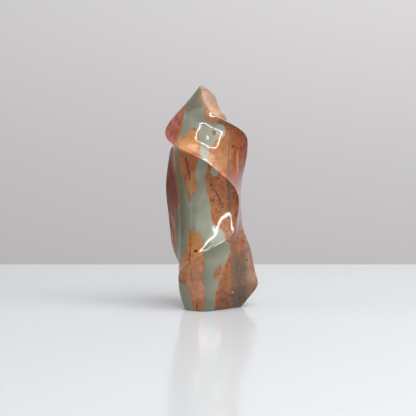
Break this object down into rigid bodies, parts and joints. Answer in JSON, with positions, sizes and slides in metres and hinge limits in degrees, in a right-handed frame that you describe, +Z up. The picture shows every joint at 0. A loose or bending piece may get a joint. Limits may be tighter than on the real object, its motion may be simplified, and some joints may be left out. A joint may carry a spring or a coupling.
{
  "type": "polished jasper flame carving",
  "caption": "Free-standing ornament of polished banded stone: a twisted flame with sharp swaying crests, scooped faces, a pointed tip and a flat foot.",
  "frame": {"origin": "on the flat foot's plane, under the middle of the carving's bounding box", "axes": "+Z up from the foot to the tip; -Y is the side seen in the picture; +X to the right in the picture"},
  "size_m": [0.0444, 0.0344, 0.105],
  "materials": {
    "polished_jasper": "polished to a high gloss; grey-green, orange-brown, pink and maroon bands with grey and dark red veins"
  },
  "bodies": {
    "root": {"flame_carving": "polished_jasper"}
  },
  "joints": []
}
